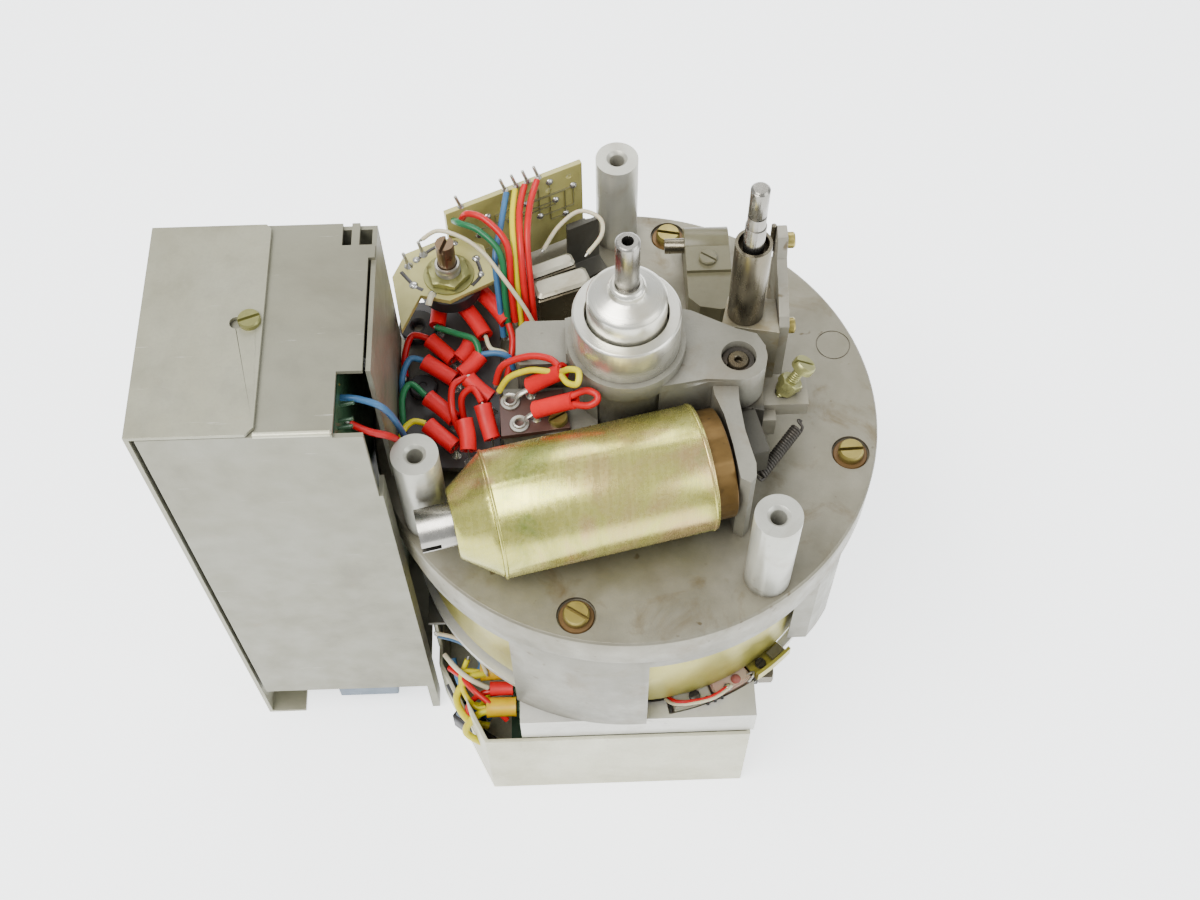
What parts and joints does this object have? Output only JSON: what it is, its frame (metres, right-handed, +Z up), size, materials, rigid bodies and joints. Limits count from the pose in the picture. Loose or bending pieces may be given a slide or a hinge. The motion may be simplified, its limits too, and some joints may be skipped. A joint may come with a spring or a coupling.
{
  "type": "capstan drive unit",
  "caption": "Tape capstan motor unit: cast flange with outer-rotor motor and capstan shaft, pinch-roller lever pulled by a solenoid, electronics box and wiring tray.",
  "frame": {"origin": "middle of the footprint, on the surface the unit stands on", "axes": "+Z up along the capstan shaft, +X from the electronics box towards the pinch-roller lever, -Y towards the solenoid side"},
  "size_m": [0.188, 0.14, 0.195],
  "materials": {
    "cast_alloy": "cast aluminium, fine matt skin with faint stains",
    "turned_alloy": "turned aluminium, fine lathe rings",
    "bright_alloy": "smooth bright aluminium",
    "gold_chromate": "yellow chromate on steel, satin with pink and green bloom",
    "bright_steel": "ground bright steel",
    "dark_steel": "dark oiled steel",
    "grey_steel": "dull grey plated steel",
    "brass": "dull brass",
    "bronze": "sintered bronze",
    "sheet_metal": "tin-zinc plated sheet steel, satin, with brown stains",
    "black_phenolic": "black phenolic board",
    "brown_phenolic": "brown phenolic board",
    "circuit_board": "olive glass board with solder-covered tracks",
    "green_board": "green circuit board",
    "red_sleeve": "soft red PVC sleeve",
    "yellow_sleeve": "soft yellow PVC sleeve",
    "red_wire": "red wire insulation",
    "green_wire": "green wire insulation",
    "blue_wire": "blue wire insulation",
    "yellow_wire": "yellow wire insulation",
    "cream_wire": "cream wire insulation",
    "tinned": "tinned solder tag",
    "black_plastic": "black moulded plastic",
    "blue_grey_plastic": "blue-grey moulded plastic",
    "beige_plastic": "beige moulded nylon",
    "clear_grey_plastic": "translucent grey moulding with wax",
    "magnet": "hard ferrite",
    "lamination": "stacked lamination steel",
    "winding": "enamelled copper winding"
  },
  "bodies": {
    "root": {"flange_plate": "cast_alloy", "motor_frame": "cast_alloy", "mounting_posts": "cast_alloy", "plate_screws": "brass", "plate_washers": "bronze", "bearing_housing": "cast_alloy", "bearing_ring": "turned_alloy", "bearing_bushes": "bronze", "stator_core": "lamination", "stator_windings": "winding", "lower_housing": "bright_alloy", "solenoid_can": "gold_chromate", "solenoid_nose": "gold_chromate", "solenoid_end_disc": "bronze", "solenoid_winding": "winding", "return_spring": "dark_steel", "clamp_block": "beige_plastic", "cover_screws": "tinned", "clamp_pin": "bright_steel", "tacho_heads": "clear_grey_plastic", "tacho_bracket": "gold_chromate", "housing_bolt": "grey_steel", "tray": "sheet_metal", "tray_parts": "green_board", "tray_sleeves": "yellow_sleeve", "brackets": "dark_steel", "box_frame": "sheet_metal", "box_cover": "sheet_metal", "box_board": "green_board", "box_capacitors": "bright_alloy", "box_connector": "blue_grey_plastic", "terminal_board": "black_phenolic", "terminal_tags": "tinned", "terminal_sleeves": "red_sleeve", "terminal_fittings": "black_plastic", "brown_board": "brown_phenolic", "signal_boards": "circuit_board", "pot_body": "black_plastic", "pot_nut": "brass", "component_blocks": "turned_alloy", "wires_red": "red_wire", "wires_green": "green_wire", "wires_blue": "blue_wire", "wires_yellow": "yellow_wire", "wires_cream": "cream_wire"},
    "rotor": {"capstan_shaft": "bright_steel", "dust_cap": "turned_alloy", "rotor_bell": "gold_chromate", "rotor_magnets": "magnet"},
    "lever": {"pivot_shaft": "dark_steel", "pinch_lever": "grey_steel", "roller_post_tube": "grey_steel", "roller_pin": "bright_steel", "lever_side_plate": "grey_steel", "side_plate_screws": "brass", "adjuster_bracket": "grey_steel", "adjusting_screw": "gold_chromate", "adjusting_nut": "brass"},
    "plunger": {"solenoid_plunger": "bright_steel"},
    "spindle": {"pot_spindle": "bright_steel"}
  },
  "joints": [
    {"name": "capstan_spin", "type": "hinge", "parent": "root", "child": "rotor", "pos_m": [0.024, 0, 0.115], "axis": [0, 0, 1], "continuous": true},
    {"name": "lever_swing", "type": "hinge", "parent": "root", "child": "lever", "pos_m": [0.053, -0.0042, 0.125], "axis": [0, 0, 1], "range_deg": [0, 14], "stiffness_Nm_per_rad": 0.4, "springref_deg": -11.46, "deforming": ["return_spring"]},
    {"name": "plunger_slide", "type": "slide", "parent": "root", "child": "plunger", "axis": [0.9763, 0.2164, 0], "range_m": [0, 0.0048]},
    {"name": "pot_turn", "type": "hinge", "parent": "root", "child": "spindle", "pos_m": [-0.0234, 0.0311, 0.135], "axis": [0, 0, 1], "range_deg": [-135, 135]}
  ],
  "couplings": [
    {"joint": "plunger_slide", "follows": "lever_swing", "m_per_rad": 0.0193}
  ]
}
